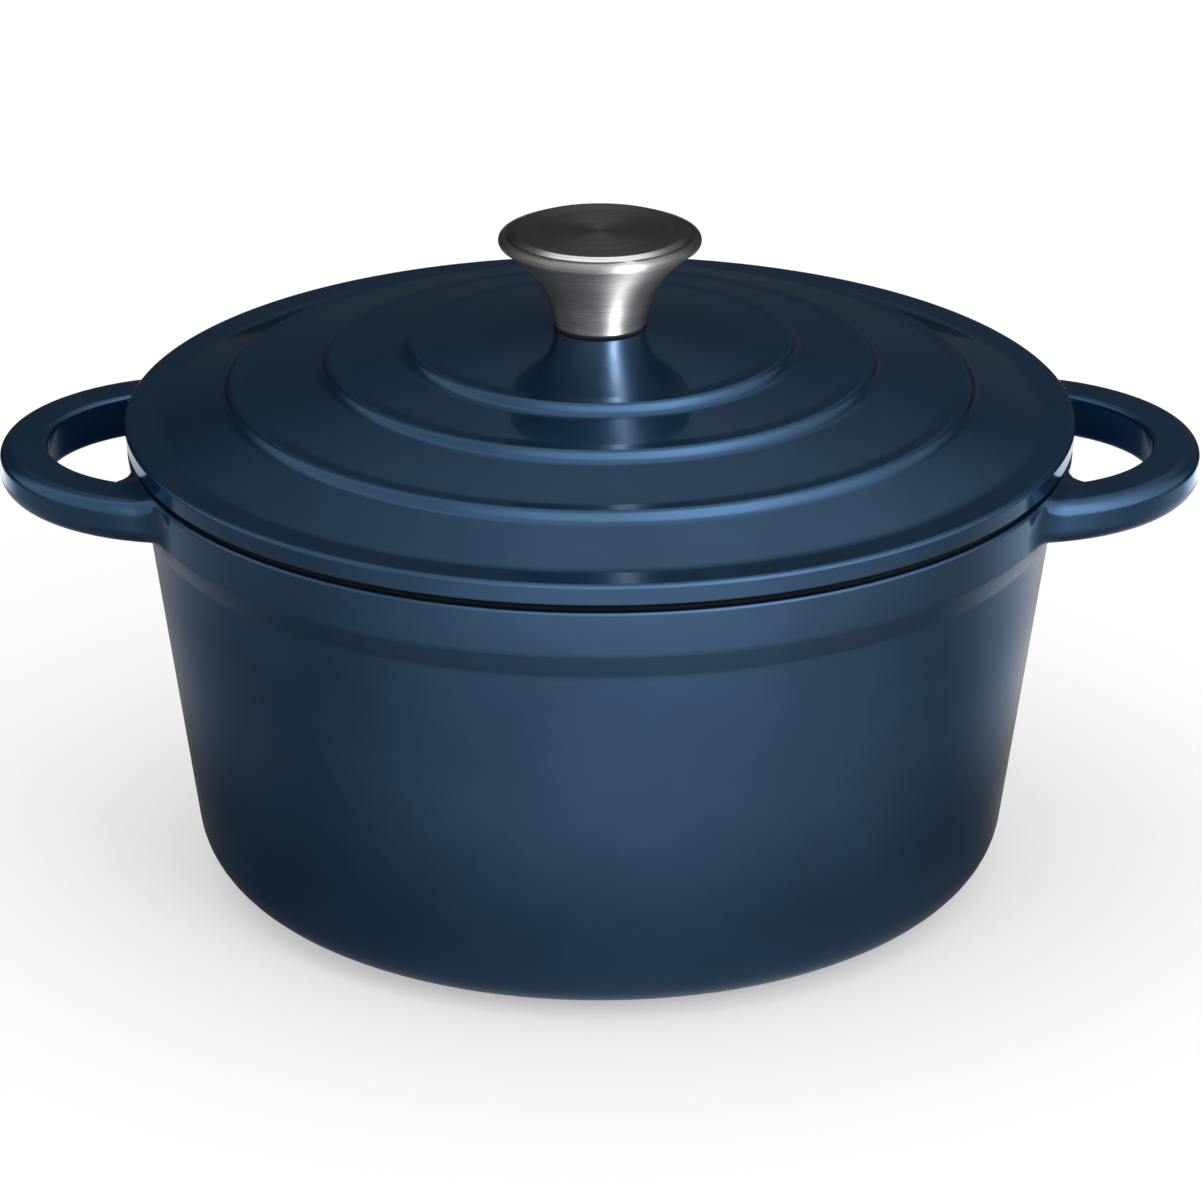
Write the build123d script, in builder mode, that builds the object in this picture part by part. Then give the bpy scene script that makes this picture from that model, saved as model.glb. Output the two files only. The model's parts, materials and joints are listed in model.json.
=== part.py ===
from build123d import *
import math
import os

# Round enamelled cast iron dutch oven with a stepped lid and a flared steel knob.
# Millimetres. Origin: centre of the underside. +Z up, the two loop handles along X.
# Points of a half section are (radius, height).

# --- enamel and the bare land between pot and lid ---
coat = 0.4                      # fired enamel thickness, inside and outside
land_radius = 132.8             # outer edge of the two bare iron faces that meet
land_round = 0.35
bead_round = 1.1                # enamel rolls over at the pot's rim

# --- pot body ---
base_radius = 114.9             # wall line carried down to the underside
wall_taper = 7.5                # degrees, the pot opens upwards
base_corner = 19.0              # outside radius between underside and wall
foot_radius = 96.0              # uncoated flat disc that the pot stands on
wall_thickness = 4.5            # enamel, iron and enamel together
floor_thickness = 5.0
cavity_corner = 15.0
step_low = 108.0                # the wall swells into the rim collar between
step_high = 116.0               # these two heights
step_low_round = 7.0
step_high_round = 5.0
collar_width = 2.7              # how far the collar stands proud of the wall
coat_top = 129.1                # outside enamel ends here, beside the bare land
land_top = 130.2                # bare iron face that the lid sits on
inner_coat_top = 128.9

# --- loop handles, one at each end of X ---
loop_centre = 116.7
loop_radius = 54.6
opening_centre = 120.3
opening_radius = 37.2
loop_low = 115.0
loop_high = 127.8
loop_outer_top_round = 4.2
loop_outer_low_round = 5.5
loop_inner_top_round = 1.8
loop_inner_low_round = 2.5
root_round = 5.0                # fillet where a loop grows out of the collar

# --- lid ---
lid_radius = 135.0
lid_rim_top = 137.0
lid_band_low = 130.9            # lower edge of the enamelled rim band
lid_band_draft = 0.4
lid_band_round = 0.9
lid_rim_round = 1.3
rim_lip_width = 10.0            # flatter margin inside the rim
rim_lip_rise = 0.15
rim_lip_round = 24.0
crown_top = 161.9               # flat spot under the knob
crown_radius = 13.6
crown_round = 8.0
ring_edges = ((54.1, 157.7), (77.2, 152.7), (105.0, 146.1))   # top corner of each step
ring_drop = 2.8
ring_run = 1.6
ring_edge_round = 1.9
ring_foot_round = 3.8
lip_width = 4.7                 # flatter margin inside each step
lip_rise = 0.15
lip_round = 14.0
lid_seat = 130.3                # bare iron face, just clear of the pot's land
skirt_outer = 125.4             # locating ring that drops into the pot's mouth
skirt_inner = 121.6
skirt_low = 126.6
skirt_round = 0.8
seat_inner = 126.0
hollow_points = ((54.0, 150.9), (78.0, 145.4), (106.0, 138.2), (118.5, 134.6))
hollow_rounds = [12.0, 60.0, 60.0, 60.0, 3.0]
hollow_coat_low = 128.0
crown_low = 156.9               # flat spot for the washers
crown_low_radius = 11.0

# --- knob and what fastens it ---
knob_low = 162.8
stem_points = ((13.2, 162.8), (14.6, 169.0), (17.9, 176.0), (24.0, 182.7), (27.9, 185.9))
knob_rim_low_bulge = (28.5, 186.35)
knob_rim_middle = (28.65, 187.1)
knob_rim_high_bulge = (28.25, 188.1)
knob_rim_top = (27.1, 188.55)
shell_thickness = 1.3
shell_floor_inner = 12.2        # inside radius where stem and floor meet
shell_floor = 1.5
shell_seat_inner = 23.4
disc_radius = 25.9
disc_clearance = 0.12
disc_seat = 186.9
disc_top = 189.9
disc_flat_radius = 24.0
disc_bevel_low = 189.0
disc_edge_round = 0.6
disc_dish = 0.25
disc_dish_midway = 0.1875       # depth of the dish halfway out
groove_radius = 26.55
groove_width = 0.3
groove_depth = 0.35
bush_radius = 8.0
bush_spigot = 5.0
bush_clearance = 0.05
bush_top = 181.0
bush_bore_top = 178.0
bush_chamfer = 1.0
screw_radius = 3.0
thread_clearance = 0.05
screw_length = 22.0
screw_end_chamfer = 0.6
hole_radius = 3.5
head_radius = 6.0
head_height = 3.7
head_round = 1.8
recess_span = 6.4
recess_width = 1.5
recess_depth = 2.2
recess_draft = 6
flat_washer_radius = 9.0
flat_washer_hole = 3.2
flat_washer_thickness = 1.6
flat_washer_chamfer = 0.2
spring_washer_radius = 5.9
spring_washer_hole = 3.15
spring_washer_thickness = 1.6
spring_washer_gap = 0.9
gasket_radius = 12.7

os.makedirs("parts", exist_ok=True)

taper = math.tan(math.radians(wall_taper))


def wall_radius(height):
    """Outside radius of the plain tapered wall at a height."""
    return base_radius + taper * height


def shifted(points, across, up):
    """The same outline points, moved bodily in radius and height."""
    return [(radius + across, height + up) for radius, height in points]


def half_section(points, rounds):
    """A closed half section through points, its inner points rounded by rounds."""
    with BuildSketch() as section:
        with BuildLine():
            FilletPolyline(*points, radius=rounds)
            Line(points[-1], points[0])
        make_face()
    return section.sketch


def ring(outer, inner, low, high):
    """A plain round washer between two heights."""
    with BuildPart() as washer:
        with BuildSketch(Plane.XY.offset(low)):
            Circle(outer)
            Circle(inner, mode=Mode.SUBTRACT)
        extrude(amount=high - low)
    return washer.part


# ---------------------------------------------------------------- pot

def loop_handle(inset):
    """One flat loop on +X, with every face moved inwards by inset."""
    with BuildPart() as loop:
        with BuildSketch(Plane.XY.offset(loop_low + inset)):
            with Locations((loop_centre, 0)):
                Circle(loop_radius - inset)
            with Locations((opening_centre, 0)):
                Circle(opening_radius + inset, mode=Mode.SUBTRACT)
        extrude(amount=loop_high - loop_low - 2 * inset)
        circles = loop.edges().filter_by(GeomType.CIRCLE)
        low_inner, low_outer = circles.group_by(Axis.Z)[0].sort_by(SortBy.RADIUS)
        high_inner, high_outer = circles.group_by(Axis.Z)[-1].sort_by(SortBy.RADIUS)
        fillet(high_outer, loop_outer_top_round - inset)
        fillet(low_outer, loop_outer_low_round - inset)
        fillet(high_inner, loop_inner_top_round - inset)
        fillet(low_inner, loop_inner_low_round - inset)
    return loop.part


def pot_envelope(inset):
    """The pot filled solid, handles included, with its outside moved inwards by inset."""
    collar_low = wall_radius(step_high) + collar_width
    collar_high = wall_radius(coat_top) + collar_width
    outline = [
        (0, inset),
        *shifted([(base_radius, 0), (wall_radius(step_low), step_low)], -inset, inset),
        (collar_low - inset, step_high + inset),
        (collar_high - inset, coat_top - inset),
        (0, coat_top - inset),
    ]
    rounds = [base_corner - inset, step_low_round, step_high_round, bead_round - inset]
    handle = loop_handle(inset)
    far_handle = mirror(handle, about=Plane.YZ)
    with BuildPart() as envelope:
        with BuildSketch(Plane.XZ):
            add(half_section(outline, rounds))
        revolve(axis=Axis.Z)
        for loop in (handle, far_handle):
            add(loop)
            fillet(envelope.edges(Select.NEW), root_round + inset)
    return envelope.part


def cavity_section(grow, top):
    """Half section of the pot's inside up to top, made larger by grow."""
    low = floor_thickness - grow
    outline = [
        (0, low),
        (wall_radius(low) - wall_thickness + grow, low),
        (wall_radius(top) - wall_thickness + grow, top),
        (0, top),
    ]
    return half_section(outline, [cavity_corner + grow, 0])


pot_iron = pot_envelope(coat)
pot_finished = pot_envelope(0)

with BuildPart() as pot_casting:
    add(pot_iron)
    with BuildSketch(Plane.XY):
        Circle(foot_radius)
    extrude(amount=coat)
    with BuildSketch(Plane.XY.offset(coat_top - coat)):
        Circle(land_radius)
    extrude(amount=land_top - coat_top + coat)
    land_edge = pot_casting.edges().filter_by(GeomType.CIRCLE).group_by(Axis.Z)[-1]
    fillet(land_edge, land_round)
    with BuildSketch(Plane.XZ):
        add(cavity_section(coat, land_top))
    revolve(axis=Axis.Z, mode=Mode.SUBTRACT)
pot_casting.part.label = "pot_casting"
export_step(pot_casting.part, "parts/pot_casting.step")

with BuildPart() as pot_outer_enamel:
    add(pot_finished)
    add(pot_iron, mode=Mode.SUBTRACT)
    with BuildSketch(Plane.XY):
        Circle(foot_radius)
    extrude(amount=coat, mode=Mode.SUBTRACT)
    with BuildSketch(Plane.XY.offset(coat_top - coat)):
        Circle(land_radius)
    extrude(amount=coat, mode=Mode.SUBTRACT)
pot_outer_enamel.part.label = "pot_outer_enamel"
export_step(pot_outer_enamel.part, "parts/pot_outer_enamel.step")

with BuildPart() as pot_inner_enamel:
    with BuildSketch(Plane.XZ):
        add(cavity_section(coat, inner_coat_top))
        add(cavity_section(0, inner_coat_top), mode=Mode.SUBTRACT)
    revolve(axis=Axis.Z)
pot_inner_enamel.part.label = "pot_inner_enamel"
export_step(pot_inner_enamel.part, "parts/pot_inner_enamel.step")


# ---------------------------------------------------------------- lid

def lid_top_outline(inset):
    """Points and rounds of the lid's outside, crown to rim, moved inwards by inset."""
    points = [(crown_radius, crown_top)]
    rounds = [crown_round]
    for radius, height in ring_edges:
        points += [
            (radius - lip_width, height + lip_rise),
            (radius, height),
            (radius + ring_run, height - ring_drop),
        ]
        rounds += [lip_round, ring_edge_round - inset, ring_foot_round + inset]
    points += [
        (lid_radius - rim_lip_width, lid_rim_top + rim_lip_rise),
        (lid_radius, lid_rim_top),
    ]
    rounds += [rim_lip_round, lid_rim_round - inset, lid_band_round - inset]
    points = shifted(points, -inset, -inset)
    band_end = (lid_radius - lid_band_draft - inset, lid_band_low + inset)
    return [(0, crown_top - inset), *points, band_end], rounds


def lid_iron_section():
    """Half section of the lid's casting as if its hollow were filled."""
    points, rounds = lid_top_outline(coat)
    points += [
        (land_radius, lid_band_low + coat),
        (land_radius, lid_seat),
        (seat_inner, lid_seat),
        (skirt_outer, skirt_low),
        (0, skirt_low),
    ]
    return half_section(points, rounds + [0, land_round, skirt_round, skirt_round])


def lid_finished_section():
    """Half section of the lid down to the enamelled rim band's lower edge."""
    points, rounds = lid_top_outline(0)
    return half_section(points + [(0, lid_band_low)], rounds)


def hollow_section(grow, low):
    """Half section of the lid's hollow underside down to low, made larger by grow."""
    share = (low - skirt_low) / (hollow_points[-1][1] - skirt_low)
    mouth = skirt_inner + share * (hollow_points[-1][0] - skirt_inner) + grow
    outline = [
        (0, crown_low + grow),
        (crown_low_radius, crown_low + grow),
        *shifted(hollow_points, grow, grow),
        (mouth, low),
        (0, low),
    ]
    return half_section(outline, hollow_rounds + [0])


with BuildPart() as lid_casting:
    with BuildSketch(Plane.XZ):
        add(lid_iron_section())
        add(hollow_section(coat, skirt_low), mode=Mode.SUBTRACT)
    revolve(axis=Axis.Z)
    with Locations((0, 0, crown_top)):
        Hole(hole_radius)
lid_casting.part.label = "lid_casting"
export_step(lid_casting.part, "parts/lid_casting.step")

with BuildPart() as lid_outer_enamel:
    with BuildSketch(Plane.XZ):
        add(lid_finished_section())
        add(lid_iron_section(), mode=Mode.SUBTRACT)
    revolve(axis=Axis.Z)
    with Locations((0, 0, crown_top)):
        Hole(hole_radius)
lid_outer_enamel.part.label = "lid_outer_enamel"
export_step(lid_outer_enamel.part, "parts/lid_outer_enamel.step")

with BuildPart() as lid_inner_enamel:
    with BuildSketch(Plane.XZ):
        add(hollow_section(coat, hollow_coat_low))
        add(hollow_section(0, hollow_coat_low), mode=Mode.SUBTRACT)
    revolve(axis=Axis.Z)
    with Locations((0, 0, crown_top)):
        Hole(hole_radius)
lid_inner_enamel.part.label = "lid_inner_enamel"
export_step(lid_inner_enamel.part, "parts/lid_inner_enamel.step")


# ---------------------------------------------------------------- knob

with BuildPart() as knob_gasket:
    add(ring(gasket_radius, hole_radius, crown_top, knob_low))
knob_gasket.part.label = "knob_gasket"
export_step(knob_gasket.part, "parts/knob_gasket.step")

shell_floor_top = knob_low + shell_floor
spigot_hole = bush_spigot + bush_clearance
recess_radius = disc_radius + disc_clearance
stem_inside = [
    (shell_floor_inner, shell_floor_top),
    *shifted(stem_points[1:-1], -shell_thickness, shell_thickness / 2),
]

with BuildPart() as knob_shell:
    with BuildSketch(Plane.XZ):
        with BuildLine():
            Line((spigot_hole, knob_low), stem_points[0])
            Spline(*stem_points)
            ThreePointArc(stem_points[-1], knob_rim_low_bulge, knob_rim_middle)
            ThreePointArc(knob_rim_middle, knob_rim_high_bulge, knob_rim_top)
            Polyline(
                knob_rim_top,
                (recess_radius, knob_rim_top[1]),
                (recess_radius, disc_seat),
                (shell_seat_inner, disc_seat),
                stem_inside[-1],
            )
            Spline(*reversed(stem_inside))
            Polyline(stem_inside[0], (spigot_hole, shell_floor_top), (spigot_hole, knob_low))
        make_face()
        with Locations((groove_radius, knob_rim_top[1])):
            Rectangle(groove_width, 2 * groove_depth, mode=Mode.SUBTRACT)
    revolve(axis=Axis.Z)
knob_shell.part.label = "knob_shell"
export_step(knob_shell.part, "parts/knob_shell.step")

with BuildPart() as knob_top_disc:
    with BuildSketch(Plane.XZ):
        with BuildLine():
            Polyline(
                (0, disc_top - disc_dish),
                (0, disc_seat),
                (disc_radius, disc_seat),
                (disc_radius, disc_bevel_low),
                (disc_flat_radius, disc_top),
            )
            dish_middle = (disc_flat_radius / 2, disc_top - disc_dish_midway)
            ThreePointArc((disc_flat_radius, disc_top), dish_middle, (0, disc_top - disc_dish))
        make_face()
    revolve(axis=Axis.Z)
    bevel_edge = knob_top_disc.edges().filter_by(GeomType.CIRCLE).group_by(Axis.Z)[-1]
    fillet(bevel_edge, disc_edge_round)
knob_top_disc.part.label = "knob_top_disc"
export_step(knob_top_disc.part, "parts/knob_top_disc.step")

with BuildPart() as knob_insert:
    with BuildSketch(Plane.XY.offset(knob_low)):
        Circle(bush_spigot)
    extrude(amount=shell_floor)
    with BuildSketch(Plane.XY.offset(shell_floor_top)):
        Circle(bush_radius)
    extrude(amount=bush_top - shell_floor_top)
    chamfer(knob_insert.edges().filter_by(GeomType.CIRCLE).group_by(Axis.Z)[-1], bush_chamfer)
    with BuildSketch(Plane.XY.offset(knob_low)):
        Circle(screw_radius + thread_clearance)
    extrude(amount=bush_bore_top - knob_low, mode=Mode.SUBTRACT)
knob_insert.part.label = "knob_insert"
export_step(knob_insert.part, "parts/knob_insert.step")

flat_washer_low = crown_low - flat_washer_thickness
spring_washer_low = flat_washer_low - spring_washer_thickness
head_low = spring_washer_low - head_height

with BuildPart() as screw_flat_washer:
    add(ring(flat_washer_radius, flat_washer_hole, flat_washer_low, crown_low))
    washer_circles = screw_flat_washer.edges().filter_by(GeomType.CIRCLE)
    chamfer(washer_circles.sort_by(SortBy.RADIUS)[-2:], flat_washer_chamfer)
screw_flat_washer.part.label = "screw_flat_washer"
export_step(screw_flat_washer.part, "parts/screw_flat_washer.step")

with BuildPart() as screw_spring_washer:
    add(ring(spring_washer_radius, spring_washer_hole, spring_washer_low, flat_washer_low))
    with BuildSketch(Plane.XY.offset(spring_washer_low)):
        with Locations((spring_washer_radius, 0)):
            Rectangle(2 * spring_washer_radius, spring_washer_gap)
    extrude(amount=spring_washer_thickness, mode=Mode.SUBTRACT)
screw_spring_washer.part.label = "screw_spring_washer"
export_step(screw_spring_washer.part, "parts/screw_spring_washer.step")

with BuildPart() as knob_screw:
    with BuildSketch(Plane.XY.offset(head_low)):
        Circle(head_radius)
    extrude(amount=head_height)
    fillet(knob_screw.edges().group_by(Axis.Z)[0], head_round)
    with BuildSketch(Plane.XY.offset(spring_washer_low)):
        Circle(screw_radius)
    extrude(amount=screw_length)
    chamfer(knob_screw.edges().group_by(Axis.Z)[-1], screw_end_chamfer)
    with BuildSketch(Plane.XY.offset(head_low)):
        Rectangle(recess_span, recess_width)
        Rectangle(recess_width, recess_span)
    extrude(amount=recess_depth, taper=recess_draft, mode=Mode.SUBTRACT)
knob_screw.part.label = "knob_screw"
export_step(knob_screw.part, "parts/knob_screw.step")
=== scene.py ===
import json
import math

import bpy
import numpy
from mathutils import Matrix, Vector


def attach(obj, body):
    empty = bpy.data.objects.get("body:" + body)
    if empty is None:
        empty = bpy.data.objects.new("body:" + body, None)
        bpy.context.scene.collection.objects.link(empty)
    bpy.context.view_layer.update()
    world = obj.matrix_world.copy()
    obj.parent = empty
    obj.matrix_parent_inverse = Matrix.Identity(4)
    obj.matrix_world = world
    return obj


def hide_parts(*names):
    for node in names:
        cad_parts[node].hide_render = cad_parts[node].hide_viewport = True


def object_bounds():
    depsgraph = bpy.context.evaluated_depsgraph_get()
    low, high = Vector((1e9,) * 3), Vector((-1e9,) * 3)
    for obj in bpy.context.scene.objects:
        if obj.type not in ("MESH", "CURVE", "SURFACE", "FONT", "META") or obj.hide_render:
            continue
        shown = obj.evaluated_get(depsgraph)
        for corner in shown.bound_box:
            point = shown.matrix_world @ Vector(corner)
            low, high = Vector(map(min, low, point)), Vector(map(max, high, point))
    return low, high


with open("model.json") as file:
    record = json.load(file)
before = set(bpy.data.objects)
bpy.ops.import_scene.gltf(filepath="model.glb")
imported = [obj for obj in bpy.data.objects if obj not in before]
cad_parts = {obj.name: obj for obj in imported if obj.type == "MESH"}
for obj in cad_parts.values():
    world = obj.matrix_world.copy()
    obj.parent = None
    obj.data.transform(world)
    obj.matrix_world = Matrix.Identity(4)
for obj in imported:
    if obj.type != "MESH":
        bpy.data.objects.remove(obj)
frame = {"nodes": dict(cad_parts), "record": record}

cad_low, cad_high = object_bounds()
scene = bpy.context.scene
scene.view_settings.view_transform = "Standard"
MM = 0.001


# ---------------------------------------------------------------- profiles
# A profile is a list of pieces. A piece is a list of (radius, height, normal
# in radius, normal in height), in millimetres, walked with the solid on the left.

def straight(start, end):
    run = math.dist(start, end)
    normal = ((end[1] - start[1]) / run, -(end[0] - start[0]) / run)
    return [(*start, *normal), (*end, *normal)]


def rounded(points, rounds, arc_step=7.0):
    """An open outline through points; its inner points are rounded."""
    pieces = []
    last = points[0]
    for before, corner, after, radius in zip(points, points[1:], points[2:], rounds):
        if radius <= 0:
            pieces.append(straight(last, corner))
            last = corner
            continue
        into = numpy.subtract(corner, before)
        away = numpy.subtract(after, corner)
        into /= math.hypot(*into)
        away /= math.hypot(*away)
        turn = math.atan2(into[0] * away[1] - into[1] * away[0], float(numpy.dot(into, away)))
        back = radius * math.tan(abs(turn) / 2)
        first = numpy.subtract(corner, into * back)
        side = math.copysign(1.0, turn)
        centre = first + side * radius * numpy.array((-into[1], into[0]))
        if math.dist(last, first) > 1e-6:
            pieces.append(straight(last, tuple(first)))
        count = max(2, math.ceil(math.degrees(abs(turn)) / arc_step) + 1)
        arc = []
        start = math.atan2(first[1] - centre[1], first[0] - centre[0])
        for k in range(count + 1):
            angle = start + turn * k / count
            way = (math.cos(angle), math.sin(angle))
            place = (centre[0] + radius * way[0], centre[1] + radius * way[1])
            arc.append((*place, side * way[0], side * way[1]))
        pieces.append(arc)
        last = arc[-1][:2]
    pieces.append(straight(last, points[-1]))
    return pieces


def backwards(pieces):
    """The same outline walked the other way, so that its normals face the other side."""
    return [[(r, z, -a, -b) for r, z, a, b in reversed(piece)] for piece in reversed(pieces)]


def closed(*parts):
    """Several open outlines joined by straight pieces into one loop."""
    loop = []
    for number, part in enumerate(parts):
        loop += part
        end = part[-1][-1][:2]
        start = parts[(number + 1) % len(parts)][0][0][:2]
        if math.dist(end, start) > 1e-6:
            loop.append(straight(end, start))
    return loop


def split_long(piece, limit):
    """A straight piece divided so that no quad is much longer than limit."""
    if len(piece) != 2:
        return piece
    (r0, z0, a, b), (r1, z1, _, _) = piece
    count = max(1, math.ceil(math.dist((r0, z0), (r1, z1)) / limit))
    return [(r0 + (r1 - r0) * k / count, z0 + (z1 - z0) * k / count, a, b) for k in range(count + 1)]


def lathe(name, loop, turns=256, limit=6.0):
    """A closed profile turned about Z into quads with exact normals."""
    loop = [split_long(piece, limit) for piece in loop]
    rim = []
    for piece in loop:
        rim += piece[:-1]
    count = len(rim)
    rows = []
    start = 0
    for piece in loop:
        for k in range(len(piece) - 1):
            rows.append((start + k, (start + k + 1) % count, piece[k][2:], piece[k + 1][2:]))
        start += len(piece) - 1
    verts = []
    for k in range(turns):
        angle = 2 * math.pi * k / turns
        c, s = math.cos(angle) * MM, math.sin(angle) * MM
        verts += [(r * c, r * s, z * MM) for r, z, _, _ in rim]
    faces = []
    normals = []
    for k in range(turns):
        nearer = (math.cos(2 * math.pi * k / turns), math.sin(2 * math.pi * k / turns))
        following = (k + 1) % turns
        farther = (math.cos(2 * math.pi * following / turns), math.sin(2 * math.pi * following / turns))
        for low, high, at_low, at_high in rows:
            faces.append((k * count + low, following * count + low,
                          following * count + high, k * count + high))
            normals += [
                (at_low[0] * nearer[0], at_low[0] * nearer[1], at_low[1]),
                (at_low[0] * farther[0], at_low[0] * farther[1], at_low[1]),
                (at_high[0] * farther[0], at_high[0] * farther[1], at_high[1]),
                (at_high[0] * nearer[0], at_high[0] * nearer[1], at_high[1]),
            ]
    mesh = bpy.data.meshes.new(name)
    mesh.from_pydata(verts, [], faces)
    mesh.validate()
    mesh.polygons.foreach_set("use_smooth", [True] * len(faces))
    mesh.normals_split_custom_set(normals)
    made = bpy.data.objects.new(name, mesh)
    scene.collection.objects.link(made)
    return made


def stands_for(piece, node, slot_name):
    """The piece rides with the node's body, takes its place and wears its finish."""
    body = next(name for name, nodes in frame["record"]["behaviour"]["bodies"].items() if node in nodes)
    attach(piece, body)
    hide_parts(node)
    piece.data.materials.append(finishes[slot_name])


# ---------------------------------------------------------------- materials

class Shader:
    """A node tree with one Principled BSDF, built up by short calls."""

    def __init__(self, name):
        self.material = bpy.data.materials.new(name)
        self.material.use_nodes = True
        self.tree = self.material.node_tree
        self.tree.nodes.clear()
        self.output = self.node("ShaderNodeOutputMaterial")
        self.surface = self.node("ShaderNodeBsdfPrincipled")
        self.link(self.surface, "BSDF", self.output, "Surface")

    def node(self, kind, **values):
        made = self.tree.nodes.new(kind)
        for key, value in values.items():
            socket = made.inputs.get(key.replace("_", " "))
            if socket is not None:
                socket.default_value = value
            else:
                setattr(made, key, value)
        return made

    def link(self, source, out, target, into):
        self.tree.links.new(source.outputs[out], target.inputs[into])

    def set(self, **values):
        for key, value in values.items():
            self.surface.inputs[key.replace("_", " ")].default_value = value

    def math(self, operation, first, second=None):
        made = self.node("ShaderNodeMath", operation=operation)
        for index, value in enumerate((first, second)):
            if value is None:
                continue
            if isinstance(value, tuple):
                self.tree.links.new(value[0].outputs[value[1]], made.inputs[index])
            else:
                made.inputs[index].default_value = value
        return made

    def noise(self, where, scale, detail=3.0, rough=0.5):
        made = self.node("ShaderNodeTexNoise", Scale=scale, Detail=detail, Roughness=rough)
        self.link(where, "Vector", made, "Vector")
        return made

    def stretch(self, scale):
        where = self.node("ShaderNodeTexCoord")
        made = self.node("ShaderNodeMapping", Scale=scale)
        self.link(where, "Object", made, "Vector")
        return made

    def span(self, source, out, low, high, start, end):
        made = self.node("ShaderNodeMapRange")
        for key, value in (("From Min", low), ("From Max", high), ("To Min", start), ("To Max", end)):
            made.inputs[key].default_value = value
        self.link(source, out, made, "Value")
        return made

    def mix(self, factor, out, first, second):
        made = self.node("ShaderNodeMix", data_type="RGBA")
        made.inputs[6].default_value = first
        made.inputs[7].default_value = second
        self.tree.links.new(factor.outputs[out], made.inputs[0])
        return made

    def bump(self, height, out, strength, distance, below=None):
        made = self.node("ShaderNodeBump", Strength=strength, Distance=distance)
        self.link(height, out, made, "Height")
        if below is not None:
            self.link(below, "Normal", made, "Normal")
        return made


def enamel(name, deep, light, tint, metal, gloss, rough, peel):
    """Fired glass enamel: clouded colour under a clear gloss with a faint orange peel."""
    s = Shader(name)
    plain = s.stretch((1, 1, 1))
    cloud = s.noise(plain, 28, 4)
    tone = s.mix(s.span(cloud, "Fac", 0.35, 0.65, 0, 1), "Result", deep, light)
    s.tree.links.new(tone.outputs[2], s.surface.inputs["Base Color"])
    sheen = s.noise(plain, 90, 3)
    s.link(s.span(sheen, "Fac", 0.3, 0.7, rough * 0.85, rough * 1.2), "Result", s.surface, "Roughness")
    slow = s.noise(plain, 60, 1)
    fast = s.noise(plain, 420, 2)
    pits = s.node("ShaderNodeTexVoronoi", Scale=900.0)
    s.link(plain, "Vector", pits, "Vector")
    first = s.bump(slow, "Fac", peel, 0.0006)
    second = s.bump(fast, "Fac", peel, 0.00008, first)
    third = s.bump(s.span(pits, "Distance", 0.0, 0.12, 0, 1), "Result", 0.12, 0.00003, second)
    s.link(third, "Normal", s.surface, "Normal")
    s.link(first, "Normal", s.surface, "Coat Normal")
    s.set(Metallic=metal, Specular_Tint=tint, Coat_Weight=gloss, Coat_Roughness=0.06, Coat_IOR=1.5)
    return s.material


def bare_iron():
    """Matte black ground coat over sand-cast iron."""
    s = Shader("bare_iron")
    plain = s.stretch((1, 1, 1))
    grain = s.noise(plain, 900, 5, 0.65)
    cloud = s.noise(plain, 45, 3)
    tone = s.mix(cloud, "Fac", (0.003, 0.003, 0.0034, 1), (0.008, 0.008, 0.0085, 1))
    s.tree.links.new(tone.outputs[2], s.surface.inputs["Base Color"])
    s.link(s.span(grain, "Fac", 0.3, 0.7, 0.55, 0.8), "Result", s.surface, "Roughness")
    s.link(s.bump(grain, "Fac", 0.5, 0.00025), "Normal", s.surface, "Normal")
    s.set(IOR=1.25)
    return s.material


def turned_steel(name, dull, bright, rough, along, anisotropy=0.9, depth=0.3):
    """Steel brushed round its axis. along is what the fine lines change with: height or radius."""
    s = Shader(name)
    where = s.node("ShaderNodeTexCoord")
    split = s.node("ShaderNodeSeparateXYZ")
    s.link(where, "Object", split, "Vector")
    turn = s.math("ARCTAN2", (split, "Y"), (split, "X"))
    square = s.math("ADD", (s.math("MULTIPLY", (split, "X"), (split, "X")), 0),
                    (s.math("MULTIPLY", (split, "Y"), (split, "Y")), 0))
    radius = s.math("SQRT", (square, 0))
    across = (split, "Z") if along == "height" else (radius, 0)
    steady = (radius, 0) if along == "height" else (split, "Z")
    lines = s.node("ShaderNodeCombineXYZ")
    s.tree.links.new(s.math("MULTIPLY", (turn, 0), 1.6).outputs[0], lines.inputs["X"])
    s.tree.links.new(s.math("MULTIPLY", across, 2600.0).outputs[0], lines.inputs["Y"])
    s.tree.links.new(s.math("MULTIPLY", steady, 60.0).outputs[0], lines.inputs["Z"])
    fine = s.node("ShaderNodeTexNoise", Scale=1.0, Detail=4.0, Roughness=0.7)
    s.link(lines, "Vector", fine, "Vector")
    coarse = s.node("ShaderNodeTexNoise", Scale=0.18, Detail=2.0, Roughness=0.5)
    s.link(lines, "Vector", coarse, "Vector")
    tone = s.mix(s.span(fine, "Fac", 0.3, 0.7, 0, 1), "Result", dull, bright)
    s.tree.links.new(tone.outputs[2], s.surface.inputs["Base Color"])
    s.link(s.span(coarse, "Fac", 0.3, 0.7, rough * 0.94, rough * 1.06), "Result", s.surface, "Roughness")
    first = s.bump(coarse, "Fac", depth, 0.00004)
    second = s.bump(fine, "Fac", depth, 0.00002, first)
    s.link(second, "Normal", s.surface, "Normal")
    round_axis = s.node("ShaderNodeTangent", direction_type="RADIAL", axis="Z")
    s.link(round_axis, "Tangent", s.surface, "Tangent")
    s.set(Metallic=1.0, Anisotropic=anisotropy, Anisotropic_Rotation=0.25)
    return s.material


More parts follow.
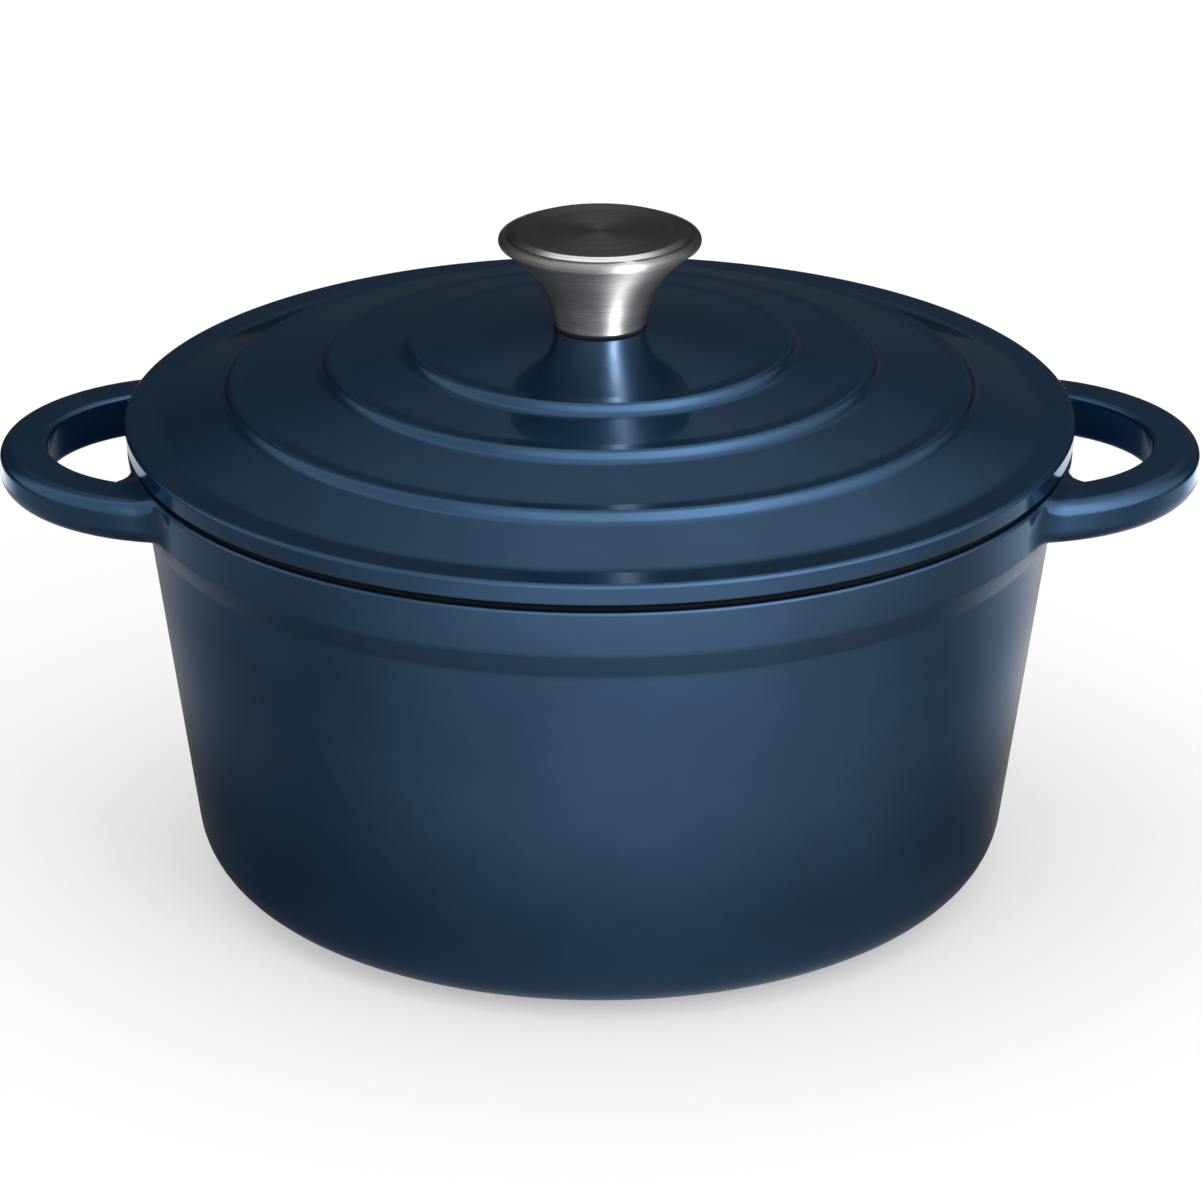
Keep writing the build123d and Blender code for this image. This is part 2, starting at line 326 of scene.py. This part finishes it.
def rubber():
    s = Shader("gasket_rubber")
    plain = s.stretch((1, 1, 1))
    grain = s.noise(plain, 1500, 3)
    tone = s.mix(grain, "Fac", (0.012, 0.012, 0.013, 1), (0.024, 0.024, 0.026, 1))
    s.tree.links.new(tone.outputs[2], s.surface.inputs["Base Color"])
    s.link(s.span(grain, "Fac", 0.3, 0.7, 0.6, 0.8), "Result", s.surface, "Roughness")
    s.link(s.bump(grain, "Fac", 0.3, 0.0001), "Normal", s.surface, "Normal")
    return s.material


finishes = {
    "blue_enamel": enamel("blue_enamel", (0.0195, 0.073, 0.163, 1), (0.0235, 0.088, 0.192, 1),
                          (0.45, 0.72, 1.0, 1), 0.87, 0.7, 0.21, 0.08),
    "cream_enamel": enamel("cream_enamel", (0.74, 0.68, 0.56, 1), (0.80, 0.75, 0.64, 1),
                           (1, 1, 1, 1), 0.0, 0.5, 0.3, 0.08),
    "bare_iron": bare_iron(),
    "brushed_steel": turned_steel("brushed_steel", (0.17, 0.168, 0.165, 1), (0.29, 0.286, 0.282, 1),
                                  0.5, "height", 0.85, 0.15),
    "disc_steel": turned_steel("disc_steel", (0.20, 0.198, 0.195, 1), (0.32, 0.316, 0.31, 1),
                               0.24, "radius", 0.6, 0.15),
    "insert_steel": turned_steel("insert_steel", (0.36, 0.36, 0.35, 1), (0.55, 0.55, 0.54, 1),
                                 0.5, "height"),
    "fastener_steel": turned_steel("fastener_steel", (0.45, 0.45, 0.44, 1), (0.66, 0.66, 0.65, 1),
                                   0.45, "radius"),
    "gasket": rubber(),
}
slot_of = {part["node"]: part["material_slot"] for part in frame["record"]["subparts"]}
for node_name, slot_name in slot_of.items():
    node = frame["nodes"][node_name]
    node.data.materials.clear()
    node.data.materials.append(finishes[slot_name])


# ---------------------------------------------------------------- lid enamel

# Millimetres, as in the part's source, apart from rim_lip_round, which is tighter here.
coat = 0.4
hole_radius = 3.5
crown_top = 161.9
crown_radius = 13.6
crown_round = 8.0
ring_edges = ((54.1, 157.7), (77.2, 152.7), (105.0, 146.1))   # top corner of each step
ring_drop = 2.8
ring_run = 1.6
ring_edge_round = 1.9
ring_foot_round = 3.8
lip_width = 4.7                 # flatter margin inside each step
lip_rise = 0.15
lip_round = 14.0
lid_radius = 135.0
lid_rim_top = 137.0
lid_rim_round = 1.3
lid_band_low = 130.9
lid_band_draft = 0.4
lid_band_round = 0.9
rim_lip_width = 10.0
rim_lip_round = 10.0
land_radius = 132.8


def lid_top(inset):
    """Points and rounds of the lid's outside, hole to land, moved inwards by inset."""
    points = [(crown_radius, crown_top)]
    rounds = [crown_round]
    for radius, height in ring_edges:
        points += [
            (radius - lip_width, height + lip_rise),
            (radius, height),
            (radius + ring_run, height - ring_drop),
        ]
        rounds += [lip_round, ring_edge_round - inset, ring_foot_round + inset]
    points += [(lid_radius - rim_lip_width, lid_rim_top + lip_rise), (lid_radius, lid_rim_top)]
    rounds += [rim_lip_round, lid_rim_round - inset, lid_band_round - inset]
    points = [(r - inset, z - inset) for r, z in points]
    low = lid_band_low + inset
    ends = [(lid_radius - lid_band_draft - inset, low), (land_radius, low)]
    return [(hole_radius, crown_top - inset)] + points + ends, rounds


def lid_enamel():
    outside = rounded(*lid_top(0))
    inside = rounded(*lid_top(coat))
    return closed(backwards(outside), inside)


lid_coat = lathe("lid_blue_enamel", lid_enamel())
stands_for(lid_coat, "lid_outer_enamel", "blue_enamel")


# ---------------------------------------------------------------- pot enamel

base_radius = 114.9
wall_slope = math.tan(math.radians(7.5))
base_corner = 19.0
step_low = 108                  # the wall swells into the rim collar between
step_high = 116                 # these two heights
step_low_round = 7.0
step_high_round = 5.0
collar_width = 2.7
coat_top = 129.1
bead_round = 1.1
loop_centre = 116.7
loop_radius = 54.6
opening_centre = 120.3
opening_radius = 37.2
loop_low = 115.0
loop_high = 127.8
loop_outer_top_round = 4.2
loop_outer_low_round = 5.5
loop_inner_top_round = 1.8
loop_inner_low_round = 2.5
root_round = 5.0


def wall_radius(height):
    return base_radius + wall_slope * height


pot_outline = rounded(
    [
        (0, 0),
        (base_radius, 0),
        (wall_radius(step_low), step_low),
        (wall_radius(step_high) + collar_width, step_high),
        (wall_radius(coat_top) + collar_width, coat_top),
        (0, coat_top),
    ],
    [base_corner, step_low_round, step_high_round, bead_round],
    arc_step=3.0,
)


def body_distance(p):
    """Signed distance of points, in millimetres, from the turned body of the pot."""
    r = numpy.hypot(p[:, 0], p[:, 1])
    z = p[:, 2]
    best = numpy.full(len(p), 1e9)
    signed = numpy.zeros(len(p))
    for piece in pot_outline:
        for (r0, z0, a0, b0), (r1, z1, a1, b1) in zip(piece, piece[1:]):
            run = math.hypot(r1 - r0, z1 - z0)
            share = numpy.clip(((r - r0) * (r1 - r0) + (z - z0) * (z1 - z0)) / run ** 2, 0, 1)
            across, up = r - (r0 + share * (r1 - r0)), z - (z0 + share * (z1 - z0))
            away = numpy.hypot(across, up)
            normal_r = a0 + share * (a1 - a0)
            normal_z = b0 + share * (b1 - b0)
            side = numpy.where(across * normal_r + up * normal_z < 0, -1.0, 1.0)
            nearer = away < best
            best = numpy.where(nearer, away, best)
            signed = numpy.where(nearer, away * side, signed)
    return signed


def inside_corner(a, b, radius):
    """The larger of two distances, with the outer corner between them rounded."""
    beyond = numpy.hypot(numpy.maximum(a + radius, 0), numpy.maximum(b + radius, 0))
    return numpy.minimum(numpy.maximum(a, b), -radius) + beyond


def loop_distance(p):
    """Signed distance of points from the two loop handles, which mirror each other."""
    x = numpy.abs(p[:, 0])
    outer = numpy.hypot(x - loop_centre, p[:, 1]) - loop_radius
    inner = opening_radius - numpy.hypot(x - opening_centre, p[:, 1])
    top = p[:, 2] - loop_high
    low = loop_low - p[:, 2]
    return numpy.maximum.reduce([
        inside_corner(outer, top, loop_outer_top_round),
        inside_corner(outer, low, loop_outer_low_round),
        inside_corner(inner, top, loop_inner_top_round),
        inside_corner(inner, low, loop_inner_low_round),
    ])


def pot_distance(p):
    """Signed distance from body and loops together, with a fillet where they meet."""
    body, loop = body_distance(p), loop_distance(p)
    near = numpy.hypot(numpy.maximum(root_round - body, 0), numpy.maximum(root_round - loop, 0))
    return numpy.maximum(numpy.minimum(body, loop), root_round) - near


def pot_gradient(p):
    """Unit direction in which the distance grows, which is the surface's normal."""
    step = 0.02
    rows = []
    for axis in range(3):
        shift = numpy.zeros(3)
        shift[axis] = step
        rows.append(pot_distance(p + shift) - pot_distance(p - shift))
    slope = numpy.stack(rows, 1)
    return slope / numpy.maximum(numpy.linalg.norm(slope, axis=1, keepdims=True), 1e-9)


def smooth_copy(node_name, name):
    """The node's own shape as a new piece, with normals worked out from the exact surface.

    A face that lies far off that surface's normal, such as the coat's inner side, stays flat.
    """
    same_way = 0.8
    source = frame["nodes"][node_name]
    mesh = source.data.copy()
    mesh.name = name
    made = bpy.data.objects.new(name, mesh)
    scene.collection.objects.link(made)
    mesh.materials.clear()
    points = numpy.empty(len(mesh.vertices) * 3)
    mesh.vertices.foreach_get("co", points)
    points = points.reshape(-1, 3) / MM
    slope = pot_gradient(points)
    corner = numpy.empty(len(mesh.loops), dtype=numpy.int32)
    mesh.loops.foreach_get("vertex_index", corner)
    flat = numpy.empty(len(mesh.polygons) * 3)
    mesh.polygons.foreach_get("normal", flat)
    flat = numpy.repeat(flat.reshape(-1, 3), 3, axis=0)
    normal = slope[corner]
    agree = numpy.einsum("ij,ij->i", normal, flat)
    normal = normal * numpy.sign(agree)[:, None]
    normal = numpy.where((numpy.abs(agree) > same_way)[:, None], normal, flat)
    mesh.polygons.foreach_set("use_smooth", [True] * len(mesh.polygons))
    mesh.normals_split_custom_set(normal.tolist())
    return made


pot_coat = smooth_copy("pot_outer_enamel", "pot_blue_enamel")
stands_for(pot_coat, "pot_outer_enamel", "blue_enamel")


# ---------------------------------------------------------------- studio

class Graph:
    """Math nodes in one node tree, written as calls."""

    def __init__(self, tree):
        self.tree = tree

    def node(self, kind, **values):
        made = self.tree.nodes.new(kind)
        for key, value in values.items():
            setattr(made, key, value)
        return made

    def calc(self, operation, *values):
        made = self.node("ShaderNodeMath", operation=operation)
        for index, value in enumerate(values):
            if isinstance(value, (int, float)):
                made.inputs[index].default_value = value
            else:
                self.tree.links.new(value, made.inputs[index])
        return made.outputs[0]

    def curve(self, value, stops):
        """A straight-line graph through (value, level) stops."""
        low, high = stops[0][0], stops[-1][0]
        span = self.node("ShaderNodeMapRange")
        span.inputs["From Min"].default_value = low
        span.inputs["From Max"].default_value = high
        self.tree.links.new(value, span.inputs["Value"])
        graph = self.node("ShaderNodeValToRGB")
        points = graph.color_ramp.elements
        top = max(level for _, level in stops)
        for index, (_, level) in enumerate((stops[0], stops[-1])):
            points[index].position = index
            points[index].color = (level / top,) * 3 + (1,)
        for at, level in stops[1:-1]:
            points.new((at - low) / (high - low)).color = (level / top,) * 3 + (1,)
        self.tree.links.new(span.outputs["Result"], graph.inputs["Fac"])
        return self.calc("MULTIPLY", graph.outputs["Color"], top)

    def fade(self, value, start, end):
        """0 at start, 1 at end and a soft slope between."""
        made = self.node("ShaderNodeMapRange", interpolation_type="SMOOTHSTEP")
        made.inputs["From Min"].default_value = start
        made.inputs["From Max"].default_value = end
        self.tree.links.new(value, made.inputs["Value"])
        return made.outputs["Result"]

    def glows(self, angle, lamps):
        """Soft glows round the pot, added up. Each is (direction, half width, strength)."""
        level = 0.0
        for direction, half_width, strength in lamps:
            aside = self.calc("SUBTRACT", angle, math.radians(direction))
            aside = self.calc("ABSOLUTE", self.calc("WRAP", aside, math.pi, -math.pi))
            lobe = self.fade(aside, math.radians(half_width), 0.0)
            level = self.calc("MULTIPLY_ADD", lobe, strength, level)
        return level

    def split(self, source):
        made = self.node("ShaderNodeSeparateXYZ")
        self.tree.links.new(source, made.inputs[0])
        return [made.outputs[key] for key in "XYZ"]


# Mirrored studio, in degrees round the pot with the right side positive. The sky is measured
# from straight behind and the paper from straight in front.
REAR_GLOWS = ((25, 100, 1.08), (-62, 40, 0.4))
RIGHT_BOX = ((130, 62, 1.65),)
# PAPER_GLOWS: painted pools of light on the paper, seen only in reflections
PAPER_GLOWS = ((12, 80, 0.55), (120, 48, 0.42), (-120, 40, 0.1))
REAR_DARK = 0.075               # back wall up to the height where it starts to brighten
REAR_BRIGHT = 1.1
REAR_START = 0.36
SIDE_LEVEL = 0.75
FRONT_LEVEL = 0.4
# PAPER_DARK: painted glow of the paper outside those pools
PAPER_DARK = 0.14
PAINTED_SHADE_LEVEL = 0.37              # painted shade: share of the paper's painted glow that is left beside the pot
PAINTED_SHADE_EDGE = (0.145, 0.21)      # metres from the axis, out of the painted shade round the pot
OPEN_EDGE = (0.24, 0.32)        # and on to the open paper


def in_radians(stops):
    return [(math.radians(angle), level) for angle, level in stops]


def studio_world():
    """Even white for the eye and the shade; a darker studio with soft boxes in the reflections."""
    world = bpy.data.worlds.new("studio")
    scene.world = world
    world.use_nodes = True
    tree = world.node_tree
    tree.nodes.clear()
    g = Graph(tree)
    x, y, z = g.split(g.node("ShaderNodeTexCoord").outputs["Generated"])
    from_behind = g.calc("ARCTAN2", x, y)
    height = g.calc("DIVIDE", g.calc("SUBTRACT", z, REAR_START), 1 - REAR_START)
    rise = g.calc("POWER", g.calc("MAXIMUM", height, 0.0), 1.5)
    rise = g.calc("MULTIPLY_ADD", rise, REAR_BRIGHT, REAR_DARK)
    rear = g.calc("MULTIPLY", rise, g.glows(from_behind, REAR_GLOWS))
    aside = g.calc("ABSOLUTE", from_behind)
    sides = g.calc("MULTIPLY", g.fade(aside, math.radians(45), math.radians(75)), SIDE_LEVEL)
    front = g.calc("MULTIPLY", g.fade(aside, math.radians(130), math.pi), FRONT_LEVEL)
    walls = g.calc("ADD", g.calc("ADD", sides, front), g.glows(from_behind, RIGHT_BOX))
    level = g.calc("ADD", rear, walls)
    facing = g.calc("ADD", g.calc("ADD", g.calc("MULTIPLY", x, 0.15), g.calc("MULTIPLY", y, -0.78)),
                    g.calc("MULTIPLY", z, 0.607))
    box = g.curve(facing, [(-1.0, 0.0), (0.6, 0.0), (0.75, 0.3), (0.9, 0.8), (1.0, 0.9)])
    level = g.calc("ADD", level, box)
    overhead = g.curve(z, [(0, 0), (0.86, 0), (1, 1)])
    level = g.calc("ADD", g.calc("MULTIPLY", level, g.calc("SUBTRACT", 1.0, overhead)),
                   g.calc("MULTIPLY", overhead, 1.1))
    seen = g.node("ShaderNodeBackground")
    tree.links.new(level, seen.inputs["Strength"])
    plain = g.node("ShaderNodeBackground")
    plain.inputs["Strength"].default_value = 0.97
    path = g.node("ShaderNodeLightPath")
    mix = g.node("ShaderNodeMixShader")
    out = g.node("ShaderNodeOutputWorld")
    tree.links.new(path.outputs["Is Glossy Ray"], mix.inputs["Fac"])
    tree.links.new(plain.outputs["Background"], mix.inputs[1])
    tree.links.new(seen.outputs["Background"], mix.inputs[2])
    tree.links.new(mix.outputs["Shader"], out.inputs["Surface"])


def soft_box(name, place, target, width, height, power, only=()):
    """A soft area light. With only, it lights just those pieces; without, it isn't mirrored."""
    light = bpy.data.lights.new(name, "AREA")
    light.shape = "RECTANGLE"
    light.size, light.size_y = width, height
    light.energy = power
    lamp = bpy.data.objects.new(name, light)
    scene.collection.objects.link(lamp)
    lamp.location = place
    lamp.rotation_mode = "QUATERNION"
    lamp.rotation_quaternion = (Vector(target) - Vector(place)).to_track_quat("-Z", "Y")
    if only:
        lit = bpy.data.collections.new(name + "_lights")
        for piece in only:
            lit.objects.link(piece)
        lamp.light_linking.receiver_collection = lit
    else:
        lamp.visible_glossy = False


def pale_floor():
    """Plain pale paper. Mirrored, it shows a painted glow: painted light in front of the pot, painted shade
    beside and behind it and a painted bright band further behind.
    """
    half = 6.0
    mesh = bpy.data.meshes.new("floor")
    corners = [(-half, -half, 0), (half, -half, 0), (half, half, 0), (-half, half, 0)]
    mesh.from_pydata(corners, [], [(0, 1, 2, 3)])
    floor = bpy.data.objects.new("floor", mesh)
    scene.collection.objects.link(floor)
    s = Shader("paper_with_painted_reflection")
    s.set(Base_Color=(0.66, 0.66, 0.66, 1), Roughness=0.9, Specular_IOR_Level=0.0,
          Emission_Color=(1, 1, 1, 1), Emission_Strength=0.42)
    # From here on, a painted glow that only reflections see: painted light and painted shade on the paper.
    g = Graph(s.tree)
    x, y, _ = g.split(g.node("ShaderNodeTexCoord").outputs["Object"])
    reach = g.calc("SQRT", g.calc("ADD", g.calc("MULTIPLY", x, x), g.calc("MULTIPLY", y, y)))
    from_front = g.calc("ARCTAN2", x, g.calc("MULTIPLY", y, -1.0))
    # Painted pools of light round the pot, by direction from the front.
    painted_pools = g.calc("ADD", g.glows(from_front, PAPER_GLOWS), PAPER_DARK)
    # Painted shade round the foot of the pot, lifting in two steps towards the open paper.
    clear = g.calc("MULTIPLY", g.fade(reach, *PAINTED_SHADE_EDGE), 0.56)
    open_paper = g.calc("MULTIPLY", g.fade(reach, *OPEN_EDGE), 0.5)
    near = g.calc("ADD", g.calc("ADD", clear, open_paper), PAINTED_SHADE_LEVEL)
    # Painted shade on the far paper behind the pot and towards its sides.
    behind = g.calc("ABSOLUTE", g.calc("ARCTAN2", x, y))
    shade = g.curve(behind, [(0, 0.97), (math.radians(60), 0.97), (math.radians(100), 0.0), (math.pi, 0.0)])
    far = g.curve(reach, [(0.4, 0.0), (0.7, 1.0)])
    lit = g.calc("SUBTRACT", 1.0, g.calc("MULTIPLY", far, shade))
    level = g.calc("MULTIPLY", g.calc("MULTIPLY", painted_pools, near), lit)
    # A painted bright band on the paper some way behind the pot.
    painted_band = g.curve(reach, [(0.36, 0.0), (0.42, 1.0), (0.52, 1.0), (0.62, 0.0)])
    rear = g.curve(behind, in_radians([(0, 1.6), (50, 1.6), (70, 0), (180, 0)]))
    level = g.calc("ADD", level, g.calc("MULTIPLY", painted_band, rear))
    painted_reflection = g.node("ShaderNodeEmission")
    painted_reflection.inputs["Color"].default_value = (1.08, 1.0, 0.96, 1)
    s.tree.links.new(level, painted_reflection.inputs["Strength"])
    # Reflections see the painted glow; the camera and diffuse light see the plain paper.
    path = g.node("ShaderNodeLightPath")
    mix = g.node("ShaderNodeMixShader")
    s.tree.links.new(path.outputs["Is Glossy Ray"], mix.inputs["Fac"])
    s.tree.links.new(s.surface.outputs["BSDF"], mix.inputs[1])
    s.tree.links.new(painted_reflection.outputs["Emission"], mix.inputs[2])
    s.tree.links.new(mix.outputs["Shader"], s.output.inputs["Surface"])
    mesh.materials.append(s.material)
    floor.location.z = cad_low.z - 0.0002


camera_distance = 1.5
camera_pitch = math.radians(22.42)
camera_target = Vector((0.0003, 0, 0.0771))


def make_camera():
    lens = bpy.data.cameras.new("camera")
    lens.sensor_width = 36
    lens.lens = 155.4
    lens.clip_end = 100
    camera = bpy.data.objects.new("camera", lens)
    scene.collection.objects.link(camera)
    back = Vector((0, -math.cos(camera_pitch), math.sin(camera_pitch)))
    camera.location = camera_target + back * camera_distance
    camera.rotation_mode = "QUATERNION"
    camera.rotation_quaternion = (-back).to_track_quat("-Z", "Y")
    scene.camera = camera


make_camera()
studio_world()
pale_floor()
knob_shell = frame["nodes"]["knob_shell"]
knob_disc = frame["nodes"]["knob_top_disc"]
knob_middle = (0, 0, 0.175)
soft_box("key_light", (1.1, -1.5, 1.3), (0, 0, 0.1), 0.9, 0.9, 6)
soft_box("top_light", (-0.1, -0.2, 1.8), (0, 0, 0.1), 1.6, 1.2, 5)
soft_box("knob_strip", (0.60, -0.90, 0.42), knob_middle, 0.20, 0.6, 52, [knob_shell])
soft_box("knob_fill", (-0.9, -1.1, 0.45), knob_middle, 1.4, 0.8, 4, [knob_shell, knob_disc])
soft_box("knob_top_light", (0.0, 0.32, 1.15), knob_middle, 1.2, 0.45, 5, [knob_shell, knob_disc])
